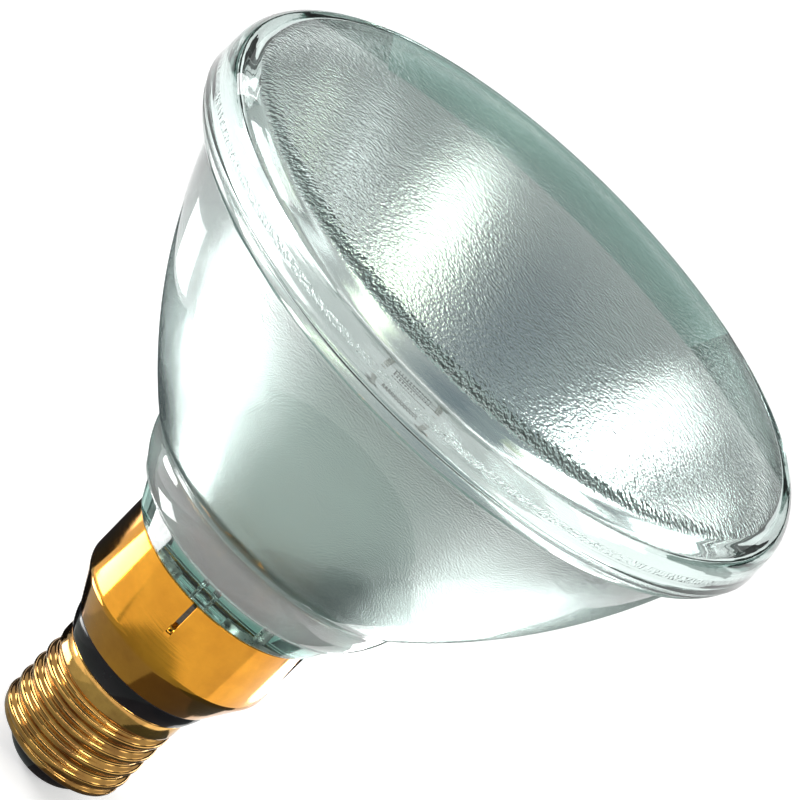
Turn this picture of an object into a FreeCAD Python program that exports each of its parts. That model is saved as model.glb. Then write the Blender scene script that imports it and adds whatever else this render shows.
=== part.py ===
import FreeCAD
import Part

import math
import os

from FreeCAD import Vector

# A reflector lamp of 122 mm: a pressed glass reflector, silvered inside, under a clear
# pressed lens, on a brass screw cap with a skirt. Millimetres. The axis is Z, the lens is
# up, and the origin is the tip of the centre contact.

# Centre contact and its solder
SOLDER_DOME_HEIGHT = 0.7
SOLDER_DOME_RADIUS = 2.4
CONTACT_RADIUS = 4.7
CONTACT_THICKNESS = 0.8
CONTACT_HOLE_RADIUS = 0.9

# Black glass that carries the contact
TIP_INSET = 0.5
TIP_END_RADIUS = 6.1
TIP_HEIGHT = 4.2
TIP_INNER_DEPTH = 3.4
TIP_BORE_RADIUS = 1.7
TIP_EDGE_ROUND = 0.6

# Screw shell with a rolled round thread
THREAD_PITCH = 3.629
THREAD_CREST_RADIUS = 13.1
THREAD_DEPTH = 1.1
THREAD_LENGTH = 16.9
THREAD_FIRST_CREST_DROP = 1.7
SHELL_WALL = 0.35
WEB_MARGIN = 0.2
FUSE_TOLERANCE = 0.0001
SHELL_MOUTH_RADIUS = 9.6
SHELL_END_HEIGHT = 2.1
SHELL_END_STEP = 0.3
SHELL_END_BULGE = 0.65
COLLAR_HEIGHT = 3.9
COLLAR_ROUND = 0.5

# Black glass ring between shell and skirt
RING_HEIGHT = 4.5
RING_FOOT_RADIUS = 13.35
RING_TOP_RADIUS = 15.0
RING_BORE_RADIUS = 10.8

# Brass skirt
SKIRT_RADIUS = 19.4
SKIRT_WALL = 0.4
SKIRT_HEIGHT = 13.9
SKIRT_SHOULDER_HEIGHT = 7.9
SKIRT_SHOULDER_WIDTH = 4.2
SKIRT_CREASE_ROUND = 3.2
SKIRT_LIP_RADIUS = 11.8
SLOT_WIDTH = 0.95
SLOT_LENGTH = 6.1

# Glass reflector, outside, from the skirt up
NECK_CLEARANCE = 0.3
NECK_STEP = 0.6
NECK_HEIGHT = 6.2
NECK_FLARE = 3.0
RIDGE_WIDTH = 1.3
RIDGE_HEIGHT = 0.8
HUMP_HEIGHT = 8.4
HUMP_BULGE = 0.65
SHELF_HEIGHT = 1.9
SHELF_WIDTH = 2.3
BODY_HEIGHT = 44.3
BODY_BULGE = 2.95
BODY_FOOT_WALL = 5.0
FLANGE_OVERHANG = 4.9
FLANGE_UNDERSIDE_WIDTH = 2.2
FLANGE_UNDERSIDE_HEIGHT = 0.5
FLANGE_HEIGHT = 3.3

# Glass reflector, inside
SEAM_WIDTH = 6.1
BASE_THICKNESS = 5.0
FOOT_DEPTH = 5.6
FOOT_WALL = 4.0
POCKET_DEPTH = 4.57
TUBE_RADIUS = 3.0
TUBE_BORE_RADIUS = 1.25
TUBE_LENGTH = 3.6
TUBE_END_WALL = 1.6
TUBE_END_DOME = 1.3
COAT_THICKNESS = 0.3
COAT_CLEARANCE = 0.06
COAT_MARGIN = 1.2
COAT_OPENING_RADIUS = 2.6

# Lens
LENS_RADIUS = 61.0
LENS_STEP = 0.6
SEAM_CHAMFER = 0.7
LENS_SIDE_HEIGHT = 4.7
LENS_SIDE_DRAFT = 0.25
SHOULDER_HEIGHT = 6.2
SHOULDER_WIDTH = 4.75
SHOULDER_BULGE = 1.15
CROWN_HEIGHT = 5.8
LENS_THICKNESS = 4.0
STIPPLE_MARGIN = 1.3
INNER_CORNER_HEIGHT = 1.6

# Seals, posts and filament
POST_SPACING = 15.0
POST_RADIUS = 0.75
POST_HOLE_RADIUS = 1.5
POST_OVERRUN = 1.4
FERRULE_RADIUS = 4.2
FERRULE_WALL = 0.4
FERRULE_DEPTH = 4.6
FERRULE_SEAT = 1.6
BRAZE_RADIUS = 2.0
BRAZE_HEIGHT = 1.1
COIL_RADIUS = 1.1
COIL_WIRE_RADIUS = 0.16
COIL_LEG_RADIUS = 0.24
COIL_PITCH = 0.85
COIL_TURNS = 12

# Lead wires and cement
LEAD_RADIUS = 0.4
LEAD_STUB = 3.0
LEAD_BEND = 3.0
LEAD_CLEARANCE = 0.3
SHELL_LEAD_DROP = 1.6
CEMENT_HEIGHT = 4.2
CEMENT_THICKNESS = 0.8
CEMENT_DROP = 0.8

# Heights that follow from the sizes above, from the contact up
CONTACT_Z = SOLDER_DOME_HEIGHT
TIP_Z = CONTACT_Z + CONTACT_THICKNESS - TIP_INSET
SHELL_END_Z = TIP_Z + TIP_HEIGHT
THREAD_TOP_Z = SHELL_END_Z + THREAD_LENGTH
COLLAR_TOP_Z = THREAD_TOP_Z + COLLAR_HEIGHT
RING_TOP_Z = COLLAR_TOP_Z + RING_HEIGHT
CREASE_Z = RING_TOP_Z + SKIRT_SHOULDER_HEIGHT
SKIRT_TOP_Z = CREASE_Z + SKIRT_HEIGHT
NECK_Z = SKIRT_TOP_Z + NECK_CLEARANCE
RIDGE_Z = NECK_Z + NECK_HEIGHT
HUMP_Z = RIDGE_Z + RIDGE_HEIGHT
SHELF_Z = HUMP_Z + HUMP_HEIGHT
BODY_Z = SHELF_Z + SHELF_HEIGHT
UNDERSIDE_Z = BODY_Z + BODY_HEIGHT
FLANGE_Z = UNDERSIDE_Z + FLANGE_UNDERSIDE_HEIGHT
SEAM_Z = FLANGE_Z + FLANGE_HEIGHT
LENS_SIDE_Z = SEAM_Z + SEAM_CHAMFER + LENS_SIDE_HEIGHT
SHOULDER_Z = LENS_SIDE_Z + SHOULDER_HEIGHT
CROWN_Z = SHOULDER_Z + CROWN_HEIGHT

# Radii that follow from the lens, from the rim inwards
FLANGE_RADIUS = LENS_RADIUS - LENS_STEP
BODY_TOP_RADIUS = FLANGE_RADIUS - FLANGE_OVERHANG
UNDERSIDE_RADIUS = BODY_TOP_RADIUS + FLANGE_UNDERSIDE_WIDTH
MIRROR_MOUTH_RADIUS = FLANGE_RADIUS - SEAM_WIDTH
LENS_SIDE_TOP_RADIUS = LENS_RADIUS - LENS_SIDE_DRAFT
SHOULDER_RADIUS = LENS_SIDE_TOP_RADIUS - SHOULDER_WIDTH
STIPPLE_RADIUS = MIRROR_MOUTH_RADIUS - STIPPLE_MARGIN

# Radii that follow from the skirt, for the cap and for the neck above it
SKIRT_FOOT_RADIUS = SKIRT_RADIUS - SKIRT_SHOULDER_WIDTH
NECK_FOOT_RADIUS = SKIRT_RADIUS + NECK_STEP
NECK_TOP_RADIUS = NECK_FOOT_RADIUS + NECK_FLARE
RIDGE_RADIUS = NECK_TOP_RADIUS + RIDGE_WIDTH
FOOT_RADIUS = SKIRT_RADIUS - SKIRT_WALL - CEMENT_THICKNESS
POCKET_RADIUS = FOOT_RADIUS - FOOT_WALL

# The mirror's parabola, up from the pocket, and the foot of the body a wall outside it
FOOT_Z = NECK_Z - FOOT_DEPTH
POCKET_Z = FOOT_Z + POCKET_DEPTH
VERTEX_Z = POCKET_Z + BASE_THICKNESS
BOWL_DEPTH = SEAM_Z - VERTEX_Z
FOCAL_LENGTH = MIRROR_MOUTH_RADIUS ** 2 / (4 * BOWL_DEPTH)
BODY_FOOT_RADIUS = MIRROR_MOUTH_RADIUS * math.sqrt((BODY_Z - VERTEX_Z) / BOWL_DEPTH) + BODY_FOOT_WALL
HUMP_TOP_RADIUS = BODY_FOOT_RADIUS - SHELF_WIDTH
FOCUS_Z = VERTEX_Z + FOCAL_LENGTH
FERRULE_Z = POCKET_Z - FERRULE_DEPTH
POST_X = POST_SPACING / 2
SIDES = {"left": -1, "right": 1}


class Section:
    """Half section in the plane of X and Z, drawn point by point and turned about Z."""

    def __init__(self, radius, z):
        self.first = Vector(radius, 0, z)
        self.here = self.first
        self.edges = []

    def line(self, radius, z):
        """Draw a straight edge to a radius and a height."""
        there = Vector(radius, 0, z)
        self.edges.append(Part.makeLine(self.here, there))
        self.here = there
        return self

    def bulged(self, radius, z, bulge):
        """Draw an arc whose middle lies off its chord, to the right of the way there."""
        there = Vector(radius, 0, z)
        chord = there - self.here
        off = Vector(chord.z, 0, -chord.x)
        off.normalize()
        middle = (self.here + there) * 0.5 + off * bulge
        self.edges.append(Part.Arc(self.here, middle, there).toShape())
        self.here = there
        return self

    def through(self, middle_radius, middle_z, radius, z):
        """Draw an arc through a middle point."""
        there = Vector(radius, 0, z)
        self.edges.append(Part.Arc(self.here, Vector(middle_radius, 0, middle_z), there).toShape())
        self.here = there
        return self

    def rounded(self, corner, there, radius):
        """Draw to a corner and round it, as far as the straight that leads on from it."""
        corner = Vector(corner[0], 0, corner[1])
        back = (self.here - corner).normalize()
        ahead = (Vector(there[0], 0, there[1]) - corner).normalize()
        half = back.getAngle(ahead) / 2
        reach = radius / math.tan(half)
        start = corner + back * reach
        end = corner + ahead * reach
        centre_way = (back + ahead).normalize()
        middle = corner + centre_way * (radius / math.sin(half) - radius)
        self.line(start.x, start.z)
        self.edges.append(Part.Arc(start, middle, end).toShape())
        self.here = end
        return self

    def parabola(self, radius, z, vertex_z):
        """Draw along the mirror's parabola, which has its lowest point at vertex_z."""
        there = Vector(radius, 0, z)
        pole_radius = (self.here.x + radius) / 2
        pole_z = vertex_z + self.here.x * radius / (4 * FOCAL_LENGTH)
        curve = Part.BezierCurve()
        curve.setPoles([self.here, Vector(pole_radius, 0, pole_z), there])
        self.edges.append(curve.toShape())
        self.here = there
        return self

    def closed_wire(self):
        """Close the section with a straight edge if it is still open."""
        if self.here.distanceToPoint(self.first) > 1e-6:
            self.edges.append(Part.makeLine(self.here, self.first))
        return Part.Wire(self.edges)

    def turned(self):
        """Turn the closed section once about the axis."""
        face = Part.Face(self.closed_wire())
        return face.revolve(Vector(0, 0, 0), Vector(0, 0, 1), 360)

    def as_wire(self, radius):
        """Follow the drawn path with a round wire, from its first point down."""
        circle = Part.Circle(self.first, Vector(0, 0, 1), radius)
        path = Part.Wire(self.edges)
        return path.makePipeShell([Part.Wire(circle.toShape())], True, False)


def cylinder(radius, z_low, z_high, x=0.0):
    """Upright cylinder between two heights."""
    return Part.makeCylinder(radius, z_high - z_low, Vector(x, 0, z_low))


def parabola_z(radius):
    """Height of the mirror's parabola at a radius."""
    return VERTEX_Z + radius ** 2 / (4 * FOCAL_LENGTH)


def dome_radius(radius, height):
    """Ball radius of a dome with this radius at its edge and this height."""
    return (radius ** 2 + height ** 2) / (2 * height)


def dome_bulge(radius, height):
    """Bulge of the arc from a dome's edge to its top, level where it meets the axis."""
    ball = dome_radius(radius, height)
    return ball - math.sqrt(ball ** 2 - (radius ** 2 + height ** 2) / 4)


def lens():
    """Pressed lens: a low dome with a clear shoulder and a deep rim, hollow below."""
    inside_crown = CROWN_Z - LENS_THICKNESS
    inner_ball = dome_radius(SHOULDER_RADIUS, CROWN_HEIGHT) - LENS_THICKNESS
    inner_drop = inner_ball - math.sqrt(inner_ball ** 2 - STIPPLE_RADIUS ** 2)
    edge_z = inside_crown - inner_drop
    section = Section(MIRROR_MOUTH_RADIUS, SEAM_Z)
    section.line(LENS_RADIUS - SEAM_CHAMFER, SEAM_Z)
    section.line(LENS_RADIUS, SEAM_Z + SEAM_CHAMFER)
    section.line(LENS_SIDE_TOP_RADIUS, LENS_SIDE_Z)
    section.bulged(SHOULDER_RADIUS, SHOULDER_Z, SHOULDER_BULGE)
    section.bulged(0, CROWN_Z, dome_bulge(SHOULDER_RADIUS, CROWN_HEIGHT))
    section.line(0, inside_crown)
    section.bulged(STIPPLE_RADIUS, edge_z, -dome_bulge(STIPPLE_RADIUS, inner_drop))
    section.bulged(MIRROR_MOUTH_RADIUS, edge_z - INNER_CORNER_HEIGHT, -0.3)
    return section.turned()


def reflector():
    """Pressed reflector: flange, bowl, hump, ridge and neck, with a parabola inside."""
    tube_end = POCKET_Z - TUBE_LENGTH
    section = Section(TUBE_BORE_RADIUS, parabola_z(TUBE_BORE_RADIUS))
    section.parabola(MIRROR_MOUTH_RADIUS, SEAM_Z, VERTEX_Z)
    section.line(FLANGE_RADIUS - SEAM_CHAMFER / 2, SEAM_Z)
    section.line(FLANGE_RADIUS, SEAM_Z - SEAM_CHAMFER / 2)
    section.bulged(UNDERSIDE_RADIUS, FLANGE_Z, -0.25)
    section.line(BODY_TOP_RADIUS, UNDERSIDE_Z)
    section.bulged(BODY_FOOT_RADIUS, BODY_Z, -BODY_BULGE)
    section.line(HUMP_TOP_RADIUS, SHELF_Z)
    section.bulged(RIDGE_RADIUS, HUMP_Z, -HUMP_BULGE)
    section.line(RIDGE_RADIUS, RIDGE_Z + RIDGE_HEIGHT / 2)
    section.line(NECK_TOP_RADIUS, RIDGE_Z)
    section.line(NECK_FOOT_RADIUS, NECK_Z)
    section.line(FOOT_RADIUS, NECK_Z)
    section.line(FOOT_RADIUS, FOOT_Z)
    section.line(POCKET_RADIUS, FOOT_Z)
    section.line(POCKET_RADIUS, POCKET_Z)
    section.line(TUBE_RADIUS, POCKET_Z)
    section.line(TUBE_RADIUS, tube_end + TUBE_END_DOME)
    section.bulged(0, tube_end, -dome_bulge(TUBE_RADIUS, TUBE_END_DOME))
    section.line(0, tube_end + TUBE_END_WALL)
    section.line(TUBE_BORE_RADIUS, tube_end + TUBE_END_WALL)
    glass = section.turned()
    for side in SIDES.values():
        glass = glass.cut(cylinder(POST_HOLE_RADIUS, FERRULE_Z, FOCUS_Z, side * POST_X))
        glass = glass.cut(ferrule(side))
    return glass


def mirror_coating():
    """Aluminium on the reflector's inner face, left off around the posts."""
    top = MIRROR_MOUTH_RADIUS - COAT_MARGIN
    below = COAT_CLEARANCE
    above = COAT_CLEARANCE + COAT_THICKNESS
    section = Section(TUBE_BORE_RADIUS, parabola_z(TUBE_BORE_RADIUS) + below)
    section.parabola(top, parabola_z(top) + below, VERTEX_Z + below)
    section.line(top, parabola_z(top) + above)
    section.parabola(TUBE_BORE_RADIUS, parabola_z(TUBE_BORE_RADIUS) + above, VERTEX_Z + above)
    coat = section.turned()
    for side in SIDES.values():
        coat = coat.cut(cylinder(COAT_OPENING_RADIUS, POCKET_Z, FOCUS_Z, side * POST_X))
    return coat


def ferrule(side):
    """Metal cup sealed into the base glass, open towards the glass."""
    rim_z = POCKET_Z + FERRULE_SEAT
    cup = cylinder(FERRULE_RADIUS, FERRULE_Z, rim_z, side * POST_X)
    hollow = cylinder(FERRULE_RADIUS - FERRULE_WALL, FERRULE_Z + FERRULE_WALL, rim_z, side * POST_X)
    return cup.cut(hollow)


def braze_joints():
    """Braze around the foot of each post, on the floor of its ferrule."""
    floor = FERRULE_Z + FERRULE_WALL
    section = Section(POST_RADIUS, floor)
    section.line(BRAZE_RADIUS, floor)
    section.bulged(POST_RADIUS, floor + BRAZE_HEIGHT, -0.25)
    fillet = section.turned()
    pair = []
    for side in SIDES.values():
        placed = fillet.copy()
        placed.translate(Vector(side * POST_X, 0, 0))
        pair.append(placed)
    return Part.makeCompound(pair)


def filament_leg(side):
    """Sleeved end of the coil, from its last turn into the head of the post."""
    start = side * (COIL_PITCH * COIL_TURNS / 2 - COIL_WIRE_RADIUS)
    end = side * (POST_X + POST_RADIUS / 2)
    low, high = sorted((start, end))
    foot = Vector(low, 0, FOCUS_Z - COIL_RADIUS)
    return Part.makeCylinder(COIL_LEG_RADIUS, high - low, foot, Vector(1, 0, 0))


def lead_post(side):
    """Rod that rises from its ferrule to the focus and grips the filament's end."""
    rod = cylinder(POST_RADIUS, FERRULE_Z + FERRULE_WALL, FOCUS_Z + POST_OVERRUN, side * POST_X)
    rod = rod.makeFillet(POST_RADIUS / 2, [edge for edge in rod.Edges if edge.BoundBox.ZMin > FOCUS_Z])
    return rod.cut(filament_leg(side))


def filament():
    """Tungsten coil across the focus, with its two straight legs."""
    length = COIL_PITCH * COIL_TURNS
    helix = Part.makeHelix(COIL_PITCH, length, COIL_RADIUS)
    start = Vector(COIL_RADIUS, 0, 0)
    circle = Part.Circle(start, Vector(0, 1, 0), COIL_WIRE_RADIUS)
    coil = Part.Wire(helix).makePipeShell([Part.Wire(circle.toShape())], True, True)
    coil.rotate(Vector(0, 0, 0), Vector(0, 1, 0), 90)
    coil.translate(Vector(-length / 2, 0, FOCUS_Z))
    return coil.fuse([filament_leg(side) for side in SIDES.values()])


def contact_lead():
    """Wire from the left ferrule down the axis into the solder of the contact."""
    upper = (-POST_X, FERRULE_Z - LEAD_STUB)
    lower = (0, COLLAR_TOP_Z)
    path = Section(-POST_X, FERRULE_Z)
    path.rounded(upper, lower, LEAD_BEND)
    path.rounded(lower, (0, 0), LEAD_BEND)
    path.line(0, CONTACT_Z + CONTACT_THICKNESS / 2)
    return path.as_wire(LEAD_RADIUS)


def shell_lead_end():
    """Radius and height at which the shell's own lead ends inside the collar."""
    gate = RING_BORE_RADIUS - LEAD_RADIUS - LEAD_CLEARANCE
    return gate, COLLAR_TOP_Z - SHELL_WALL - SHELL_LEAD_DROP


def shell_lead():
    """Wire from the right ferrule down past the insulating ring to the collar."""
    gate, end_z = shell_lead_end()
    upper = (POST_X, FERRULE_Z - LEAD_STUB)
    lower = (gate, RING_TOP_Z + LEAD_STUB)
    path = Section(POST_X, FERRULE_Z)
    path.rounded(upper, lower, LEAD_BEND)
    path.rounded(lower, (gate, end_z), LEAD_BEND)
    path.line(gate, end_z)
    return path.as_wire(LEAD_RADIUS)


def shell_solder():
    """Bead that joins the shell's lead to the wall of the collar."""
    gate, end_z = shell_lead_end()
    wall = THREAD_CREST_RADIUS - SHELL_WALL
    reach = wall - gate + LEAD_RADIUS
    bead = Part.makeSphere(reach, Vector(wall, 0, end_z))
    inside = cylinder(wall, THREAD_TOP_Z + SHELL_WALL, COLLAR_TOP_Z - SHELL_WALL)
    return bead.common(inside).cut(shell_lead())


def basing_cement():
    """Ring of cement that holds the neck's foot in the skirt."""
    top = NECK_Z - NECK_CLEARANCE - CEMENT_DROP
    ring = cylinder(SKIRT_RADIUS - SKIRT_WALL, top - CEMENT_HEIGHT, top)
    return ring.cut(cylinder(FOOT_RADIUS, top - CEMENT_HEIGHT, top))


def cap_skirt():
    """Drawn brass skirt: a plain cylinder, a round crease, a cone and a turned-in lip."""
    wall = SKIRT_WALL
    slope = math.atan2(SKIRT_RADIUS - SKIRT_FOOT_RADIUS, SKIRT_SHOULDER_HEIGHT)
    crease_shift = wall * math.tan(slope / 2)
    foot_shift = wall * math.tan((math.pi / 2 - slope) / 2)
    section = Section(SKIRT_RADIUS, SKIRT_TOP_Z)
    section.rounded((SKIRT_RADIUS, CREASE_Z), (SKIRT_FOOT_RADIUS, RING_TOP_Z), SKIRT_CREASE_ROUND)
    section.line(SKIRT_FOOT_RADIUS, RING_TOP_Z)
    section.line(SKIRT_LIP_RADIUS, RING_TOP_Z)
    section.line(SKIRT_LIP_RADIUS, RING_TOP_Z + wall)
    inner_foot = SKIRT_FOOT_RADIUS - foot_shift
    section.line(inner_foot, RING_TOP_Z + wall)
    inner = SKIRT_RADIUS - wall
    section.rounded((inner, CREASE_Z + crease_shift), (inner, SKIRT_TOP_Z), SKIRT_CREASE_ROUND - wall)
    section.line(inner, SKIRT_TOP_Z)
    skirt = section.turned()
    slot = Part.makeBox(SLOT_WIDTH, SKIRT_RADIUS, SLOT_LENGTH)
    slot.translate(Vector(-SLOT_WIDTH / 2, -1.5 * SKIRT_RADIUS, SKIRT_TOP_Z - SLOT_LENGTH))
    return skirt.cut(slot)


def insulating_ring():
    """Black glass ring: a cone outside, with the shell below it and the skirt above."""
    section = Section(RING_BORE_RADIUS, COLLAR_TOP_Z)
    section.line(RING_FOOT_RADIUS, COLLAR_TOP_Z)
    section.bulged(RING_TOP_RADIUS, RING_TOP_Z, 0.2)
    section.line(RING_BORE_RADIUS, RING_TOP_Z)
    return section.turned()


def thread_low_z():
    """Height at which the rolled thread gives way to the shell's rounded end."""
    return SHELL_END_Z + SHELL_END_HEIGHT


def thread_wire(inset, first_z, last_z, section):
    """Draw crest and root arcs in turn, up or down, at the mid radius at each half pitch."""
    middle = THREAD_CREST_RADIUS - THREAD_DEPTH / 2 - inset
    half_pitch = THREAD_PITCH / 2
    count = round(abs(last_z - first_z) / half_pitch)
    way = 1 if last_z > first_z else -1
    for step in range(count):
        rising = step if way > 0 else count - 1 - step
        swell = THREAD_DEPTH / 2 if rising % 2 == 0 else -THREAD_DEPTH / 2
        start = first_z + way * step * half_pitch
        section.through(middle + swell, start + way * half_pitch / 2, middle, start + way * half_pitch)


def thread_half():
    """Half a turn of the thread's whole section, swept up a helix of the same pitch."""
    crest_z = THREAD_TOP_Z - THREAD_FIRST_CREST_DROP
    turns = math.ceil((crest_z - thread_low_z()) / THREAD_PITCH) + 1
    low = crest_z - THREAD_PITCH / 4 - turns * THREAD_PITCH
    high = low + (turns + 1) * THREAD_PITCH
    middle = THREAD_CREST_RADIUS - THREAD_DEPTH / 2
    section = Section(middle, low)
    thread_wire(0, low, high, section)
    section.line(middle - SHELL_WALL, high)
    thread_wire(SHELL_WALL, high, low, section)
    helix = Part.makeHelix(THREAD_PITCH, THREAD_PITCH / 2, middle)
    helix.translate(Vector(0, 0, low))
    return Part.Wire(helix).makePipeShell([section.closed_wire()], True, True)


def threaded_halves():
    """Two helical halves that meet all round, trimmed flat above and below."""
    first = thread_half()
    second = first.copy()
    second.rotate(Vector(0, 0, 0), Vector(0, 0, 1), 180)
    second.translate(Vector(0, 0, THREAD_PITCH / 2))
    slab = cylinder(THREAD_CREST_RADIUS + THREAD_DEPTH, thread_low_z(), THREAD_TOP_Z)
    return first.common(slab), second.common(slab)


def shell_end():
    """End of the shell: a web under the thread, rounded in to the mouth round the glass."""
    wall = SHELL_WALL
    low = thread_low_z()
    root = THREAD_CREST_RADIUS - THREAD_DEPTH - wall - WEB_MARGIN
    edge = THREAD_CREST_RADIUS - SHELL_END_STEP
    section = Section(SHELL_MOUTH_RADIUS - wall, SHELL_END_Z)
    section.line(SHELL_MOUTH_RADIUS, SHELL_END_Z)
    section.bulged(edge, low - wall, SHELL_END_BULGE)
    section.line(edge, low)
    section.line(root, low)
    section.line(root, low - wall)
    section.line(edge - wall, low - wall)
    section.bulged(SHELL_MOUTH_RADIUS, SHELL_END_Z + wall, -SHELL_END_BULGE)
    section.line(SHELL_MOUTH_RADIUS - wall, SHELL_END_Z + wall)
    return section.turned()


def collar():
    """Plain top of the shell: an inward web on the thread, a wall and a turned-in lip."""
    wall = SHELL_WALL
    root = THREAD_CREST_RADIUS - THREAD_DEPTH - wall - WEB_MARGIN
    section = Section(root, THREAD_TOP_Z)
    section.rounded((THREAD_CREST_RADIUS, THREAD_TOP_Z), (THREAD_CREST_RADIUS, COLLAR_TOP_Z), COLLAR_ROUND)
    section.line(THREAD_CREST_RADIUS, COLLAR_TOP_Z)
    section.line(SKIRT_LIP_RADIUS, COLLAR_TOP_Z)
    section.line(SKIRT_LIP_RADIUS, COLLAR_TOP_Z - wall)
    section.line(THREAD_CREST_RADIUS - wall, COLLAR_TOP_Z - wall)
    section.line(THREAD_CREST_RADIUS - wall, THREAD_TOP_Z + wall)
    section.line(root, THREAD_TOP_Z + wall)
    return section.turned()


def screw_shell():
    """Thin brass shell with the thread rolled through it, so it shows inside as well."""
    first, second = threaded_halves()
    return first.fuse([second, collar(), shell_end()], FUSE_TOLERANCE)


def tip_insulator():
    """Black glass: a cone that holds the contact, a groove for the shell and a plug in it."""
    inside = SHELL_END_Z + SHELL_WALL
    mouth = SHELL_MOUTH_RADIUS - SHELL_WALL
    plug = THREAD_CREST_RADIUS - THREAD_DEPTH - SHELL_WALL - 0.6
    section = Section(TIP_BORE_RADIUS, TIP_Z)
    section.line(TIP_END_RADIUS - TIP_EDGE_ROUND, TIP_Z)
    section.bulged(TIP_END_RADIUS, TIP_Z + TIP_EDGE_ROUND, 0.17)
    section.bulged(SHELL_MOUTH_RADIUS, SHELL_END_Z, 0.5)
    section.line(mouth, SHELL_END_Z)
    section.line(mouth, inside)
    section.line(SHELL_MOUTH_RADIUS, inside)
    section.line(plug, inside + 1.6)
    section.line(plug - 0.8, inside + TIP_INNER_DEPTH)
    section.line(TIP_BORE_RADIUS + 1.5, inside + TIP_INNER_DEPTH)
    section.line(TIP_BORE_RADIUS, inside)
    glass = section.turned()
    return glass.cut(contact_blank())


def contact_blank():
    """Contact plate before its hole, as far as it is sunk in the glass."""
    return cylinder(CONTACT_RADIUS, CONTACT_Z, CONTACT_Z + CONTACT_THICKNESS)


def centre_contact():
    """Round contact plate with a hole for the lead."""
    plate = contact_blank()
    low = [edge for edge in plate.Edges if edge.BoundBox.ZMax < CONTACT_Z + 1e-6]
    plate = plate.makeFillet(CONTACT_THICKNESS / 3, low)
    return plate.cut(cylinder(CONTACT_HOLE_RADIUS, CONTACT_Z, CONTACT_Z + CONTACT_THICKNESS))


def contact_solder():
    """Solder on the contact, a low dome with a plug in the hole around the lead."""
    top = CONTACT_Z + CONTACT_THICKNESS
    section = Section(0, 0)
    section.bulged(SOLDER_DOME_RADIUS, CONTACT_Z, dome_bulge(SOLDER_DOME_RADIUS, SOLDER_DOME_HEIGHT))
    section.line(CONTACT_HOLE_RADIUS, CONTACT_Z)
    section.line(CONTACT_HOLE_RADIUS, top)
    section.line(0, top)
    return section.turned().cut(contact_lead())


def build():
    """Every piece under its own name."""
    parts = {
        "lens": lens(),
        "reflector": reflector(),
        "mirror_coating": mirror_coating(),
        "braze_joints": braze_joints(),
        "filament": filament(),
        "contact_lead": contact_lead(),
        "shell_lead": shell_lead(),
        "shell_solder": shell_solder(),
        "basing_cement": basing_cement(),
        "cap_skirt": cap_skirt(),
        "insulating_ring": insulating_ring(),
        "screw_shell": screw_shell(),
        "tip_insulator": tip_insulator(),
        "centre_contact": centre_contact(),
        "contact_solder": contact_solder(),
    }
    for name, side in SIDES.items():
        parts["ferrule_" + name] = ferrule(side)
        parts["lead_post_" + name] = lead_post(side)
    return parts


def main():
    """Write one file for each piece."""
    os.makedirs("parts", exist_ok=True)
    for name, shape in build().items():
        shape.exportStep("parts/" + name + ".step")


main()
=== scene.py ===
"""A 122 mm reflector lamp on a screw cap, dressed around its frame.

The glass envelope, the mirror film and the cap are built here in mesh code, and the
small pieces inside keep their frame solids with finishes of their own.
"""

import logging
import math
from dataclasses import dataclass, field
from enum import Enum
from typing import Callable, Optional

import bmesh
import bpy
from mathutils import Matrix, Vector

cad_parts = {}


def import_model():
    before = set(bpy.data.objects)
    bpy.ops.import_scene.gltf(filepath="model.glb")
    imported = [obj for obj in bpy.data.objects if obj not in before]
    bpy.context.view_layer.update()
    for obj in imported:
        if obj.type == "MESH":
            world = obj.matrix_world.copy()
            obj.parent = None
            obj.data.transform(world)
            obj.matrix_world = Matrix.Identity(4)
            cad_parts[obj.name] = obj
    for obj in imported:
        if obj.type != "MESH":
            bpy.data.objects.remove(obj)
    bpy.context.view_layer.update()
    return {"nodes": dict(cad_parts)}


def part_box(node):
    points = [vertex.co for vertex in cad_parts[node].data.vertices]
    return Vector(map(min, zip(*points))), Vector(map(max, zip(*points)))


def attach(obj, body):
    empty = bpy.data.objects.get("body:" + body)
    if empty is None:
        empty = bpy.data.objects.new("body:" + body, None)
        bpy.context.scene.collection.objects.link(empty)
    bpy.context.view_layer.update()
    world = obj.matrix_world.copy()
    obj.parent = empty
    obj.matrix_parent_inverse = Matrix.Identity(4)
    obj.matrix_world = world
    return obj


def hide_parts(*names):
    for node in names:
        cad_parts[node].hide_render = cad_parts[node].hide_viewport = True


LOG = logging.getLogger("reflector_lamp")
MM = 0.001
BODY = "root"
ON_AXIS = 1e-6
SAME_POINT = 1e-4
SAME_END = 1e-3
CUT_SHARE = 0.45
ROUND_THE_AXIS = (1, 1, 30)
DISC_SIDES = 64

Point = tuple[float, float]
Place = tuple[float, float, float]
Color = tuple[float, float, float]
Mesh = bmesh.types.BMesh
Socket = bpy.types.NodeSocket


class Ray(Enum):
    """Kinds of ray that can see the floor as plain white."""

    CAMERA = "Is Camera Ray"
    GLOSSY = "Is Glossy Ray"
    TRANSMISSION = "Is Transmission Ray"


class Shade(Enum):
    """How the faces of a turned piece are shaded."""

    SMOOTH = True
    FLAT = False


# Profiles and meshes


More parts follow.
